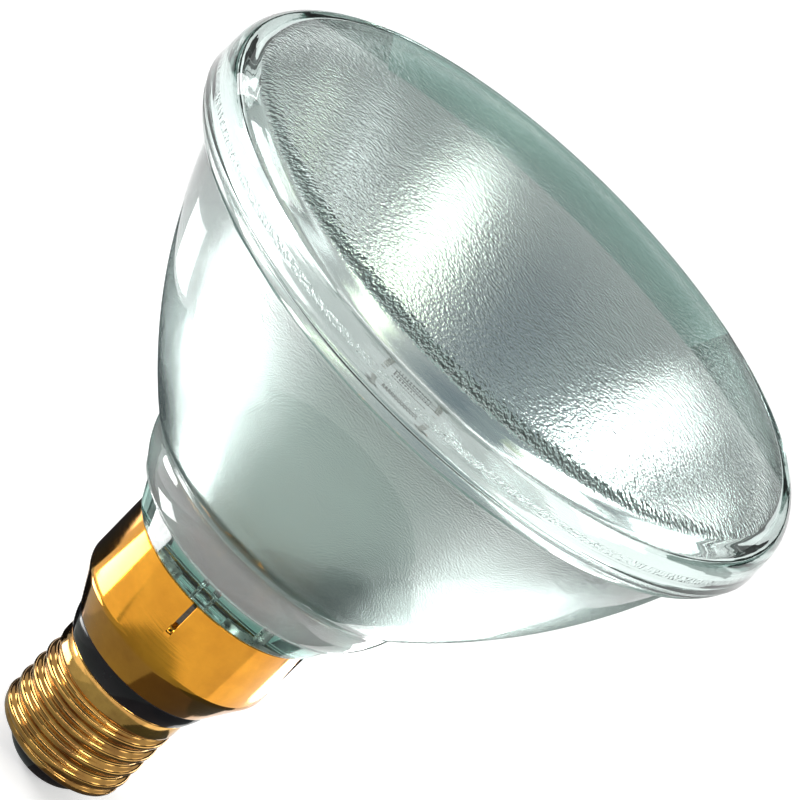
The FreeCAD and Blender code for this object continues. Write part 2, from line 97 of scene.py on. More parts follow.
class Profile:
    """Half section of a turned piece in millimetres, drawn point by point."""

    def __init__(self, radius: float, z: float) -> None:
        """Start at a point.

        Args:
            radius: radius of the start.
            z: height of the start.
        """
        self.spans: list[list[Point]] = []
        self.softness: list[float] = []
        self.here: Point = (radius, z)

    def _add(self, points: list[Point], soft: float) -> "Profile":
        """Append a span.

        Args:
            points: the span's points.
            soft: rounding of the corner at its end.

        Returns:
            The profile itself.
        """
        self.spans.append(points)
        self.softness.append(soft)
        self.here = points[-1]
        return self

    def line(self, radius: float, z: float, soft: float = 0.0) -> "Profile":
        """Draw straight to a point.

        Args:
            radius: radius of the end.
            z: height of the end.
            soft: how far before the end its corner starts to round.

        Returns:
            The profile itself.
        """
        return self._add([self.here, (radius, z)], soft)

    def arc(
        self, radius: float, z: float, bulge: float, soft: float = 0.0, steps: int = 24
    ) -> "Profile":
        """Draw an arc to a point, its middle off the chord to the right of the way there.

        Args:
            radius: radius of the end.
            z: height of the end.
            bulge: distance of the arc's middle from the chord.
            soft: rounding of the corner at the end.
            steps: number of pieces.

        Returns:
            The profile itself.
        """
        start = Vector(self.here)
        end = Vector((radius, z))
        chord = end - start
        half = chord.length / 2
        off = Vector((chord.y, -chord.x)).normalized()
        ball = (half**2 + bulge**2) / (2 * bulge)
        centre = (start + end) / 2 + off * (bulge - ball)
        sweep = 2 * math.asin(max(-1.0, min(1.0, half / ball)))
        spoke = start - centre
        points: list[Point] = []
        for way in (1, -1):
            points = []
            for step in range(steps + 1):
                turn = Matrix.Rotation(way * sweep * step / steps, 2)
                points.append(tuple(centre + turn @ spoke))
            if (Vector(points[-1]) - end).length <= SAME_END:
                break
        points[0] = tuple(start)
        points[-1] = tuple(end)
        return self._add(points, soft)

    def curve(
        self, rule: Callable[[float], float], radius: float, soft: float = 0.0, steps: int = 40
    ) -> "Profile":
        """Draw along a height that is a function of the radius.

        Args:
            rule: height for a radius.
            radius: radius of the end.
            soft: rounding of the corner at the end.
            steps: number of pieces.

        Returns:
            The profile itself.
        """
        start = self.here[0]
        points = []
        for step in range(steps + 1):
            at = start + (radius - start) * step / steps
            points.append((at, rule(at)))
        points[0] = self.here
        return self._add(points, soft)

    @staticmethod
    def _cut(points: list[Point], length: float, from_end: bool) -> list[Point]:
        """Shorten a span at one end.

        Args:
            points: the span's points.
            length: how much comes off.
            from_end: whether it comes off the last point.

        Returns:
            The shortened span.
        """
        path = list(reversed(points)) if from_end else list(points)
        left = length
        while len(path) > 2 and (Vector(path[1]) - Vector(path[0])).length <= left:
            left -= (Vector(path[1]) - Vector(path[0])).length
            path.pop(0)
        first, second = Vector(path[0]), Vector(path[1])
        gap = (second - first).length
        share = min(left, gap * CUT_SHARE) / gap
        path[0] = tuple(first.lerp(second, share))
        return list(reversed(path)) if from_end else path

    def points(self, closed: bool = True, steps: int = 5) -> list[Point]:
        """Give the drawn line with its corners rounded and the straights propped.

        Args:
            closed: whether the last point leads back to the first.
            steps: pieces of each rounded corner.

        Returns:
            The points in drawing order, without a doubled first point.
        """
        spans = [list(span) for span in self.spans]
        count = len(spans)
        corners: dict[int, Point] = {}
        for index in range(count):
            following = (index + 1) % count
            soft = self.softness[index]
            if soft <= 0 or (following == 0 and not closed):
                continue
            corners[index] = spans[index][-1]
            spans[index] = self._cut(spans[index], soft, True)
            spans[following] = self._cut(spans[following], soft, False)
        line: list[Point] = []
        for index, span in enumerate(spans):
            if len(span) == 2:
                span = self._prop(span)
            line.extend(span if not line or span[0] != line[-1] else span[1:])
            if index in corners:
                corner = Vector(corners[index])
                start = Vector(span[-1])
                end = Vector(spans[(index + 1) % count][0])
                for step in range(1, steps):
                    share = step / steps
                    near = start.lerp(corner, share)
                    line.append(tuple(near.lerp(corner.lerp(end, share), share)))
        tidy: list[Point] = []
        for point in line:
            if not tidy or (Vector(point) - Vector(tidy[-1])).length > SAME_POINT:
                tidy.append(point)
        if closed and (Vector(tidy[0]) - Vector(tidy[-1])).length < SAME_POINT:
            tidy.pop()
        return tidy

    @staticmethod
    def _prop(span: list[Point], prop: float = 0.12, stride: float = 2.5) -> list[Point]:
        """Add points near both ends of a straight and evenly between.

        Args:
            span: the straight's two ends.
            prop: distance of the first and last added points from the ends.
            stride: spacing of the others, about.

        Returns:
            The propped straight.
        """
        start, end = Vector(span[0]), Vector(span[1])
        length = (end - start).length
        if length < 4 * prop:
            return span
        shares = [0.0, prop / length]
        inner = max(1, round(length / stride))
        shares += [step / inner for step in range(1, inner)]
        shares += [1 - prop / length, 1.0]
        return [tuple(start.lerp(end, share)) for share in shares]


class Workshop:
    """Turns profiles and grids into objects of the scene."""

    @staticmethod
    def finish_mesh(name: str, made: Mesh, shade: Shade, outward: bool = True) -> bpy.types.Object:
        """Make an object from a bmesh.

        Args:
            name: name of the piece.
            made: the built bmesh, which is freed.
            shade: smooth or flat faces.
            outward: whether the faces are turned outward first.

        Returns:
            The new object, linked to the scene.
        """
        if outward:
            bmesh.ops.recalc_face_normals(made, faces=made.faces)
        for face in made.faces:
            face.smooth = shade.value
        mesh = bpy.data.meshes.new(name)
        made.to_mesh(mesh)
        made.free()
        piece = bpy.data.objects.new(name, mesh)
        bpy.context.scene.collection.objects.link(piece)
        return piece

    @staticmethod
    def ring(made: Mesh, radius: float, z: float, segments: int) -> list[bmesh.types.BMVert]:
        """Add points round the axis, or a single one on it.

        Args:
            made: the mesh in work.
            radius: their radius in millimetres.
            z: their height in millimetres.
            segments: how many there are.

        Returns:
            The points.
        """
        if radius < ON_AXIS:
            return [made.verts.new((0, 0, z * MM))]
        points = []
        for step in range(segments):
            turn = 2 * math.pi * step / segments
            across = radius * MM
            point = (across * math.cos(turn), across * math.sin(turn), z * MM)
            points.append(made.verts.new(point))
        return points

    @staticmethod
    def turned(
        name: str, line: list[Point], segments: int = 192, closed: bool = True
    ) -> bpy.types.Object:
        """Turn a line about the axis.

        Args:
            name: name of the piece.
            line: points in millimetres.
            segments: number of steps round the axis.
            closed: whether the last point leads back to the first.

        Returns:
            The new object.
        """
        made = bmesh.new()
        rings = [Workshop.ring(made, radius, z, segments) for radius, z in line]
        count = len(rings)
        for index in range(count if closed else count - 1):
            low, high = rings[index], rings[(index + 1) % count]
            if len(low) == 1 and len(high) == 1:
                continue
            for step in range(segments):
                after = (step + 1) % segments
                if len(low) == 1:
                    made.faces.new((low[0], high[after], high[step]))
                elif len(high) == 1:
                    made.faces.new((low[step], low[after], high[0]))
                else:
                    made.faces.new((low[step], low[after], high[after], high[step]))
        return Workshop.finish_mesh(name, made, Shade.SMOOTH)

    @staticmethod
    def carved(piece: bpy.types.Object, cutters: list[bpy.types.Object]) -> None:
        """Cut other objects out of a piece and remove them.

        Args:
            piece: the object to cut.
            cutters: closed objects that are taken out of it.
        """
        for cutter in cutters:
            tool = piece.modifiers.new("cut", "BOOLEAN")
            tool.operation = "DIFFERENCE"
            tool.solver = "MANIFOLD"
            tool.object = cutter
        bpy.context.view_layer.update()
        graph = bpy.context.evaluated_depsgraph_get()
        mesh = bpy.data.meshes.new_from_object(piece.evaluated_get(graph))
        piece.modifiers.clear()
        piece.data = mesh
        for cutter in cutters:
            bpy.data.objects.remove(cutter)

    @staticmethod
    def rod(name: str, radius: float, low: float, high: float, x: float) -> bpy.types.Object:
        """Make an upright cylinder to cut with.

        Args:
            name: its name.
            radius: its radius in millimetres.
            low: height of its foot.
            high: height of its top.
            x: how far it stands from the axis, along X.

        Returns:
            The new object.
        """
        made = bmesh.new()
        bmesh.ops.create_cone(
            made,
            cap_ends=True,
            segments=48,
            radius1=radius * MM,
            radius2=radius * MM,
            depth=(high - low) * MM,
            matrix=Matrix.Translation((x * MM, 0, (low + high) / 2 * MM)),
        )
        return Workshop.finish_mesh(name, made, Shade.SMOOTH)

    @staticmethod
    def block(name: str, low: Point, high: Point, bottom: float, top: float) -> bpy.types.Object:
        """Make a box to cut with.

        Args:
            name: its name.
            low: its lower X and Y in millimetres.
            high: its upper X and Y.
            bottom: height of its foot.
            top: height of its top.

        Returns:
            The new object.
        """
        made = bmesh.new()
        size = Vector((high[0] - low[0], high[1] - low[1], top - bottom)) * MM
        middle = Vector(((low[0] + high[0]) / 2, (low[1] + high[1]) / 2, (bottom + top) / 2)) * MM
        place = Matrix.Translation(middle) @ Matrix.Diagonal((*size, 1.0))
        bmesh.ops.create_cube(made, size=1.0, matrix=place)
        return Workshop.finish_mesh(name, made, Shade.FLAT)


# Finishes


@dataclass
class Nodes:
    """A material's node tree with short ways to add and join nodes."""

    material: bpy.types.Material

    @staticmethod
    def fresh(name: str) -> "Nodes":
        """Start an empty material.

        Args:
            name: the material's name.

        Returns:
            Its empty tree.
        """
        material = bpy.data.materials.new(name)
        material.use_nodes = True
        material.node_tree.nodes.clear()
        return Nodes(material)

    def add(self, kind: str, **values: object) -> bpy.types.Node:
        """Add a node and set its properties.

        Args:
            kind: the node's type name.
            values: properties of the node.

        Returns:
            The node.
        """
        node = self.material.node_tree.nodes.new(kind)
        for key, value in values.items():
            setattr(node, key, value)
        return node

    def join(self, source: Socket, target: Socket) -> None:
        """Link two sockets."""
        self.material.node_tree.links.new(source, target)

    def shader(self) -> bpy.types.Node:
        """Add the surface shader and the output.

        Returns:
            The surface shader.
        """
        shader = self.add("ShaderNodeBsdfPrincipled")
        output = self.add("ShaderNodeOutputMaterial")
        self.join(shader.outputs["BSDF"], output.inputs["Surface"])
        return shader

    def output(self) -> bpy.types.Node:
        """The tree's output node."""
        tree = self.material.node_tree
        return next(node for node in tree.nodes if node.type == "OUTPUT_MATERIAL")

    def reckon(self, operation: str, value: Socket, other: Socket | float) -> Socket:
        """Reckon with a value and a second value or a number.

        Args:
            operation: the operation's name.
            value: the first value.
            other: the second value, or a number.

        Returns:
            The result's socket.
        """
        node = self.add("ShaderNodeMath", operation=operation)
        self.join(value, node.inputs[0])
        if isinstance(other, bpy.types.NodeSocket):
            self.join(other, node.inputs[1])
        else:
            node.inputs[1].default_value = other
        return node.outputs[0]

    def place(self, stretch: Place = (1, 1, 1)) -> Socket:
        """Object position in metres.

        Args:
            stretch: factor for each axis.

        Returns:
            The position's socket.
        """
        coordinates = self.add("ShaderNodeTexCoord")
        mapping = self.add("ShaderNodeMapping")
        mapping.inputs["Scale"].default_value = stretch
        self.join(coordinates.outputs["Object"], mapping.inputs["Vector"])
        return mapping.outputs["Vector"]

    def height(self) -> Socket:
        """Add the height above the floor.

        Returns:
            Socket of the height in metres.
        """
        node = self.add("ShaderNodeSeparateXYZ")
        self.join(self.place(), node.inputs[0])
        return node.outputs["Z"]

    def from_axis(self) -> Socket:
        """Add the distance from the lamp's axis.

        Returns:
            Socket of the distance in metres.
        """
        node = self.add("ShaderNodeVectorMath", operation="LENGTH")
        self.join(self.place((1, 1, 0)), node.inputs[0])
        return node.outputs["Value"]

    def noise(self, where: Socket, scale: float, detail: float = 3.0, rough: float = 0.5) -> Socket:
        """Add a noise.

        Args:
            where: the position's socket.
            scale: repeats per metre.
            detail: finer layers.
            rough: strength of the finer layers.

        Returns:
            The noise's socket, from 0 to 1.
        """
        node = self.add("ShaderNodeTexNoise")
        node.inputs["Scale"].default_value = scale
        node.inputs["Detail"].default_value = detail
        node.inputs["Roughness"].default_value = rough
        self.join(where, node.inputs["Vector"])
        return node.outputs["Fac"]

    def spread(
        self, value: Socket, low: float, high: float, start: float = 0.3, end: float = 0.7
    ) -> Socket:
        """Map a value onto a range.

        Args:
            value: the value's socket.
            low: result at the start.
            high: result at the end.
            start: value where the range starts.
            end: value where it ends.

        Returns:
            The result's socket.
        """
        node = self.add("ShaderNodeMapRange")
        node.inputs["From Min"].default_value = start
        node.inputs["From Max"].default_value = end
        node.inputs["To Min"].default_value = low
        node.inputs["To Max"].default_value = high
        self.join(value, node.inputs["Value"])
        return node.outputs["Result"]

    def blend(self, share: Socket, first: Color, second: Color) -> Socket:
        """Mix two colours.

        Args:
            share: socket of the second colour's share.
            first: colour at share 0.
            second: colour at share 1.

        Returns:
            The colour's socket.
        """
        node = self.add("ShaderNodeMix", data_type="RGBA")
        node.inputs[6].default_value = (*first, 1)
        node.inputs[7].default_value = (*second, 1)
        self.join(share, node.inputs[0])
        return node.outputs[2]

    def bump(
        self, height: Socket, strength: float, distance: float, normal: Optional[Socket] = None
    ) -> Socket:
        """Bump from a height.

        Args:
            height: the height's socket.
            strength: share of the bump that shows.
            distance: depth in metres.
            normal: a normal to start from.

        Returns:
            The bumped normal's socket.
        """
        node = self.add("ShaderNodeBump")
        node.inputs["Strength"].default_value = strength
        node.inputs["Distance"].default_value = distance
        self.join(height, node.inputs["Height"])
        if normal is not None:
            self.join(normal, node.inputs["Normal"])
        return node.outputs["Normal"]


@dataclass(frozen=True)
class StippledFace:
    """Where the lens is stippled: the inner face of a spherical shell, in metres."""

    centre_z: float
    ball: float
    radius: float
    floor_z: float

    def mask(self, nodes: Nodes) -> Socket:
        """Value that is one on the stippled face and else zero.

        Args:
            nodes: the material's tree.

        Returns:
            The mask's socket.
        """
        from_centre = nodes.add("ShaderNodeVectorMath", operation="DISTANCE")
        from_centre.inputs[1].default_value = (0, 0, self.centre_z)
        nodes.join(nodes.place(), from_centre.inputs[0])
        within = nodes.reckon("LESS_THAN", nodes.from_axis(), self.radius)
        inside = nodes.reckon("LESS_THAN", from_centre.outputs["Value"], self.ball)
        above = nodes.reckon("GREATER_THAN", nodes.height(), self.floor_z)
        return nodes.reckon("MULTIPLY", nodes.reckon("MULTIPLY", within, inside), above)


@dataclass(frozen=True)
class ClearGlass:
    """Pressed borosilicate glass with a faint green cast, stippled on one face."""

    face: StippledFace
    name: str = "clear_glass"
    tint: Color = (0.985, 0.998, 0.995)
    depth_color: Color = (0.25, 0.66, 0.56)
    density: float = 22.0
    ior: float = 1.48
    smear: float = 0.04
    smear_scale: float = 90.0
    smear_share: Point = (0.62, 0.8)
    wave: float = 0.00004
    wave_scale: float = 55.0
    stipple: float = 0.00014
    stipple_scale: float = 1700.0
    streak: float = 0.000012
    streak_scale: float = 60.0
    streaked_from: float = 0.0545
    hump_clear: float = 0.74
    hump_low: Point = (0.0575, 0.0592)
    hump_high: Point = (0.066, 0.071)

    def _relief(self, nodes: Nodes) -> Socket:
        """Bump the glass with waves, the stipple and drawn rings at the rim.

        Args:
            nodes: the material's tree.

        Returns:
            The normal's socket.
        """
        where = nodes.place()
        normal = nodes.bump(nodes.noise(where, self.wave_scale, 0.0), 1.0, self.wave)
        grain = nodes.noise(where, self.stipple_scale, 1.0, 0.55)
        stippled = nodes.reckon("MULTIPLY", grain, self.face.mask(nodes))
        normal = nodes.bump(stippled, 1.0, self.stipple, normal)
        at_rim = nodes.reckon("GREATER_THAN", nodes.from_axis(), self.streaked_from)
        rings = nodes.noise(nodes.place(ROUND_THE_AXIS), self.streak_scale, 1.0)
        streaked = nodes.reckon("MULTIPLY", rings, at_rim)
        return nodes.bump(streaked, 1.0, self.streak, normal)

    def _clearness(self, nodes: Nodes) -> Socket:
        """Share of light that passes, less where the hump is slightly cloudy.

        Args:
            nodes: the material's tree.

        Returns:
            The share's socket.
        """
        height = nodes.height()
        above = nodes.spread(height, 1.0, self.hump_clear, *self.hump_low)
        below = nodes.spread(height, self.hump_clear, 1.0, *self.hump_high)
        return nodes.reckon("MAXIMUM", above, below)

    def material(self) -> bpy.types.Material:
        """Make the material.

        Returns:
            The new material.
        """
        nodes = Nodes.fresh(self.name)
        shader = nodes.shader()
        shader.inputs["Base Color"].default_value = (*self.tint, 1)
        shader.inputs["IOR"].default_value = self.ior
        smears = nodes.noise(nodes.place(), self.smear_scale, 1.0)
        smeared = nodes.spread(smears, 0.0, self.smear, *self.smear_share)
        nodes.join(smeared, shader.inputs["Roughness"])
        nodes.join(self._relief(nodes), shader.inputs["Normal"])
        nodes.join(self._clearness(nodes), shader.inputs["Transmission Weight"])
        depth = nodes.add("ShaderNodeVolumeAbsorption")
        depth.inputs["Color"].default_value = (*self.depth_color, 1)
        depth.inputs["Density"].default_value = self.density
        nodes.join(depth.outputs["Volume"], nodes.output().inputs["Volume"])
        return nodes.material


@dataclass(frozen=True)
class MirrorFilm:
    """Aluminium film, satin where it lies on pressed glass."""

    name: str = "mirror_film"
    color: Color = (0.92, 0.935, 0.93)
    cloud: Color = (0.86, 0.88, 0.875)
    smooth: float = 0.16
    rough: float = 0.25
    cloud_scale: float = 30.0
    satin_scale: float = 90.0
    grain_scale: float = 3400.0
    grain: float = 0.000014

    def material(self) -> bpy.types.Material:
        """Make the material.

        Returns:
            The new material.
        """
        nodes = Nodes.fresh(self.name)
        shader = nodes.shader()
        shader.inputs["Metallic"].default_value = 1.0
        where = nodes.place()
        cloud = nodes.spread(nodes.noise(where, self.cloud_scale, 2.0), 0.0, 1.0)
        nodes.join(nodes.blend(cloud, self.color, self.cloud), shader.inputs["Base Color"])
        satin = nodes.noise(where, self.satin_scale, 1.0)
        nodes.join(nodes.spread(satin, self.smooth, self.rough), shader.inputs["Roughness"])
        grain = nodes.noise(where, self.grain_scale, 0.0)
        nodes.join(nodes.bump(grain, 1.0, self.grain), shader.inputs["Normal"])
        return nodes.material


@dataclass(frozen=True)
class Brass:
    """Bright sheet brass with fine marks from drawing or rolling."""

    name: str
    color: Color = (0.62, 0.27, 0.02)
    deep: Color = (0.46, 0.18, 0.012)
    smooth: float = 0.06
    rough: float = 0.12
    marks: float = 0.000004
    marks_scale: float = 90.0
    lacquer: float = 0.2
    lacquer_roughness: float = 0.08
    tarnish_scale: float = 120.0
    tarnish_share: Point = (0.35, 0.75)

    def material(self) -> bpy.types.Material:
        """Make the material.

        Returns:
            The new material.
        """
        nodes = Nodes.fresh(self.name)
        shader = nodes.shader()
        shader.inputs["Metallic"].default_value = 1.0
        shader.inputs["Coat Weight"].default_value = self.lacquer
        shader.inputs["Coat Roughness"].default_value = self.lacquer_roughness
        spots = nodes.noise(nodes.place(), self.tarnish_scale, 5.0, 0.6)
        tarnish = nodes.spread(spots, 0.0, 1.0, *self.tarnish_share)
        nodes.join(nodes.blend(tarnish, self.color, self.deep), shader.inputs["Base Color"])
        drawn = nodes.noise(nodes.place(ROUND_THE_AXIS), self.marks_scale, 4.0, 0.6)
        nodes.join(nodes.spread(drawn, self.smooth, self.rough), shader.inputs["Roughness"])
        nodes.join(nodes.bump(drawn, 1.0, self.marks), shader.inputs["Normal"])
        return nodes.material


@dataclass(frozen=True)
class BlackGlass:
    """Glossy black glass of the cap's insulators."""

    name: str = "black_glass"
    color: Color = (0.004, 0.004, 0.005)
    paler: Color = (0.012, 0.01, 0.012)
    ior: float = 1.42
    gloss: float = 0.3
    swirl_scale: float = 160.0
    polish: Point = (0.05, 0.16)
    polish_scale: float = 500.0
    wave: float = 0.00006
    wave_scale: float = 190.0

    def material(self) -> bpy.types.Material:
        """Make the material.

        Returns:
            The new material.
        """
        nodes = Nodes.fresh(self.name)
        shader = nodes.shader()
        shader.inputs["IOR"].default_value = self.ior
        shader.inputs["Specular IOR Level"].default_value = self.gloss
        where = nodes.place()
        swirl = nodes.spread(nodes.noise(where, self.swirl_scale, 4.0), 0.0, 1.0)
        nodes.join(nodes.blend(swirl, self.color, self.paler), shader.inputs["Base Color"])
        polish = nodes.spread(nodes.noise(where, self.polish_scale), *self.polish)
        nodes.join(polish, shader.inputs["Roughness"])
        wave = nodes.noise(where, self.wave_scale, 2.0)
        nodes.join(nodes.bump(wave, 1.0, self.wave), shader.inputs["Normal"])
        return nodes.material


@dataclass(frozen=True)
class PlainMetal:
    """Satin metal of the pieces inside."""

    name: str
    color: Color
    deep: Color
    roughness: float = 0.3
    grain: float = 900.0
    grain_depth: float = 0.00002

    def material(self) -> bpy.types.Material:
        """Make the material.

        Returns:
            The new material.
        """
        nodes = Nodes.fresh(self.name)
        shader = nodes.shader()
        shader.inputs["Metallic"].default_value = 1.0
        where = nodes.place()
        cloud = nodes.spread(nodes.noise(where, self.grain / 3, 4.0), 0.0, 1.0)
        nodes.join(nodes.blend(cloud, self.color, self.deep), shader.inputs["Base Color"])
        fine = nodes.noise(where, self.grain)
        satin = nodes.spread(fine, self.roughness * 0.7, self.roughness * 1.3)
        nodes.join(satin, shader.inputs["Roughness"])
        nodes.join(nodes.bump(fine, 0.6, self.grain_depth), shader.inputs["Normal"])
        return nodes.material


@dataclass(frozen=True)
class BakedCement:
    """Matt, sandy cement, its colour darkened as painted shade for the hollow behind the skirt's slot.
    """

    name: str = "baked_cement"
    # painted shade: the cement is made near black so that, seen through the skirt's slot, it stands in
    # for the shade in the hollow; the sandy spread between the two colours is the cement's own grain
    color: Color = (0.05, 0.04, 0.032)
    paler: Color = (0.16, 0.14, 0.115)
    roughness: float = 0.9
    sand_scale: float = 1800.0
    sand: float = 0.0001

    def material(self) -> bpy.types.Material:
        """Make the material.

        Returns:
            The new material.
        """
        nodes = Nodes.fresh(self.name)
        shader = nodes.shader()
        shader.inputs["Roughness"].default_value = self.roughness
        sand = nodes.noise(nodes.place(), self.sand_scale, 6.0, 0.7)
        shade = nodes.blend(nodes.spread(sand, 0.0, 1.0), self.color, self.paler)
        nodes.join(shade, shader.inputs["Base Color"])
        nodes.join(nodes.bump(sand, 1.0, self.sand), shader.inputs["Normal"])
        return nodes.material


SOLDER = PlainMetal("tin_solder", (0.62, 0.62, 0.63), (0.5, 0.5, 0.5), 0.35)
WIRE = PlainMetal("coppered_wire", (0.7, 0.42, 0.28), (0.5, 0.3, 0.2))


# Sub-assemblies


def span_z(node: str) -> tuple[float, float]:
    """Lowest and highest point of a frame node in millimetres.

    Args:
        node: the node's name.

    Returns:
        The two heights.
    """
    low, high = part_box(node)
    return low[2] / MM, high[2] / MM


def width(node: str) -> float:
    """Half the width of a frame node across X in millimetres.

    Args:
        node: the node's name.

    Returns:
        The half width.
    """
    low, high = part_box(node)
    return (high[0] - low[0]) / 2 / MM


def dressed(
    piece: bpy.types.Object, finish: bpy.types.Material, slot: str, *nodes: str
) -> bpy.types.Object:
    """Give a piece its finish, its body and the nodes that it stands for.

    Args:
        piece: the object.
        finish: its material.
        slot: the record's material slot; not used.
        nodes: the frame nodes that it replaces.

    Returns:
        The piece.
    """
    piece.data.materials.clear()
    piece.data.materials.append(finish)
    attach(piece, BODY)
    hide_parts(*nodes)
    LOG.info("%s: %d faces", piece.name, len(piece.data.polygons))
    return piece


@dataclass
class GlassEnvelope:
    """Lens and reflector, fused rim to rim, with the mirror film inside."""

    focal_length: float = 12.0
    mouth_radius: float = 54.3
    tube_bore: float = 1.25
    seam_chamfer: float = 0.7
    seam_step: float = 0.05
    lens_side: Point = (60.75, 5.4)
    shoulder: Point = (56.0, 11.6)
    shoulder_bulge: float = 1.15
    lens_thickness: float = 4.0
    stipple_radius: float = 55.2
    stipple_floor: float = 1.0
    wall_top: Point = (56.5, 5.6)
    flange_radius: float = 60.4
    underside: Point = (57.7, 3.3)
    underside_bulge: float = 0.25
    body_top: Point = (55.5, 3.8)
    body_foot: Point = (30.3, 48.1)
    body_bulge: float = 2.95
    hump_top: Point = (28.0, 50.0)
    hump_foot: Point = (24.3, 58.4)
    hump_bulge: float = 0.65
    ridge_drop: float = 0.4
    neck_top: Point = (23.0, 59.2)
    neck_foot: Point = (20.0, 65.4)
    foot_radius: float = 18.2
    pocket_radius: float = 14.2
    base_thickness: float = 5.0
    tube_radius: float = 3.0
    tube_length: float = 3.6
    tube_taper: float = 1.0
    tube_tip_radius: float = 0.8
    tube_end_wall: float = 1.6
    glass_segments: int = 224
    film_margin: float = 1.2
    film_sunk: float = 0.05
    film_proud: float = 0.25
    film_steps: int = 60
    film_segments: int = 192
    post_spacing: float = 15.0
    film_opening: float = 2.6
    opening_reach: float = 3.0

    def parabola(self, radius: float, raised: float = 0.0) -> float:
        """Height of the mirror's parabola.

        Args:
            radius: distance from the axis.
            raised: how far above the parabola.

        Returns:
            The height.
        """
        seam = span_z("reflector")[1]
        vertex = seam - self.mouth_radius**2 / (4 * self.focal_length)
        return vertex + raised + radius**2 / (4 * self.focal_length)

    def lens_ball(self) -> float:
        """Radius of the lens' domed outer face.

        Returns:
            The radius.
        """
        rise = span_z("lens")[1] - (span_z("reflector")[1] + self.shoulder[1])
        return (self.shoulder[0] ** 2 + rise**2) / (2 * rise)

    def stippled_face(self) -> StippledFace:
        """Say where the stipple lies.

        Returns:
            The face between the hollow and the middle of the lens' wall.
        """
        ball = self.lens_ball()
        return StippledFace(
            centre_z=(span_z("lens")[1] - ball) * MM,
            ball=(ball - self.lens_thickness / 2) * MM,
            radius=self.stipple_radius * MM,
            floor_z=(span_z("reflector")[1] + self.stipple_floor) * MM,
        )

    def _outer_line(self) -> list[Point]:
        """Draw the outside, from the crown over rim, body and neck to the tube's end.

        Returns:
            The line's points.
        """
        foot_z, seam = span_z("reflector")
        crown = span_z("lens")[1]
        rim = width("lens")
        ball = self.lens_ball()
        pocket = self.parabola(0) - self.base_thickness
        tube_end = pocket - self.tube_length
        line = Profile(0.0, crown)
        line.curve(
            lambda r: crown - ball + math.sqrt(ball**2 - r**2), self.shoulder[0], soft=0.8, steps=36
        )
        line.arc(self.lens_side[0], seam + self.lens_side[1], -self.shoulder_bulge, soft=0.9)
        line.line(rim, seam + self.seam_chamfer, soft=0.5)
        line.line(rim - self.seam_chamfer, seam + self.seam_step, soft=0.25)
        line.line(self.flange_radius, seam - self.seam_chamfer / 2, soft=0.4)
        radius, drop = self.underside
        line.arc(radius, seam - drop, -self.underside_bulge, soft=0.35, steps=10)
        line.line(self.body_top[0], seam - self.body_top[1], soft=0.9)
        radius, drop = self.body_foot
        line.arc(radius, seam - drop, -self.body_bulge, soft=1.2, steps=48)
        line.line(self.hump_top[0], seam - self.hump_top[1], soft=0.9)
        radius, drop = self.hump_foot
        line.arc(radius, seam - drop, -self.hump_bulge, soft=0.45, steps=16)
        line.line(radius, seam - drop - self.ridge_drop, soft=0.2)
        line.line(self.neck_top[0], seam - self.neck_top[1], soft=0.45)
        line.line(self.neck_foot[0], seam - self.neck_foot[1], soft=0.5)
        line.line(self.foot_radius, seam - self.neck_foot[1], soft=0.4)
        line.line(self.foot_radius, foot_z, soft=0.5)
        line.line(self.pocket_radius, foot_z, soft=0.5)
        line.line(self.pocket_radius, pocket, soft=0.6)
        line.line(self.tube_radius, pocket, soft=0.6)
        line.line(self.tube_radius, tube_end + self.tube_taper, soft=0.8)
        line.line(self.tube_tip_radius, tube_end, soft=0.4)
        line.line(0.0, tube_end)
        return line.points(closed=False)

    def _inner_line(self) -> list[Point]:
        """Draw the hollow, from the tube over the parabola to the lens' inner face.

        Returns:
            The line's points.
        """
        inside = span_z("lens")[1] - self.lens_thickness
        ball = self.lens_ball() - self.lens_thickness
        drop = ball - math.sqrt(ball**2 - self.stipple_radius**2)
        tube_end = self.parabola(0) - self.base_thickness - self.tube_length
        line = Profile(0.0, tube_end + self.tube_end_wall)
        line.line(self.tube_bore, tube_end + self.tube_end_wall, soft=0.3)
        line.line(self.tube_bore, self.parabola(self.tube_bore), soft=0.2)
        line.curve(self.parabola, self.mouth_radius, soft=0.3, steps=80)
        line.line(self.wall_top[0], span_z("reflector")[1] + self.wall_top[1], soft=0.6)
        line.line(self.stipple_radius, inside - drop, soft=0.7)
        line.curve(lambda r: inside - ball + math.sqrt(ball**2 - r**2), 0.0)
        return line.points(closed=False)

    def build_glass(self) -> bpy.types.Object:
        """Turn the outside and the hollow into one closed body.

        Returns:
            The glass.
        """
        made = bmesh.new()
        for line in (self._outer_line(), self._inner_line()):
            rings = [Workshop.ring(made, radius, z, self.glass_segments) for radius, z in line]
            for low, high in zip(rings, rings[1:]):
                for step in range(self.glass_segments):
                    after = (step + 1) % self.glass_segments
                    if len(low) == 1:
                        made.faces.new((low[0], high[step], high[after]))
                    elif len(high) == 1:
                        made.faces.new((low[step], high[0], low[after]))
                    else:
                        made.faces.new((low[step], high[step], high[after], low[after]))
        return Workshop.finish_mesh("glass_envelope", made, Shade.SMOOTH, outward=False)

    def build_film(self) -> bpy.types.Object:
        """Turn the mirror film and cut it back around the posts.

        Returns:
            The film.
        """
        top = self.mouth_radius - self.film_margin
        line = Profile(self.tube_bore, self.parabola(self.tube_bore, -self.film_sunk))
        line.curve(lambda r: self.parabola(r, -self.film_sunk), top, steps=self.film_steps)
        line.line(top, self.parabola(top, self.film_proud))
        line.curve(lambda r: self.parabola(r, self.film_proud), self.tube_bore, steps=self.film_steps)
        film = Workshop.turned("mirror_film", line.points(), self.film_segments)
        low = self.parabola(0) - self.opening_reach
        high = self.parabola(self.post_spacing) + self.opening_reach
        cutters = []
        for side in (-1, 1):
            x = side * self.post_spacing / 2
            cutters.append(Workshop.rod("opening", self.film_opening, low, high, x))
        Workshop.carved(film, cutters)
        return film

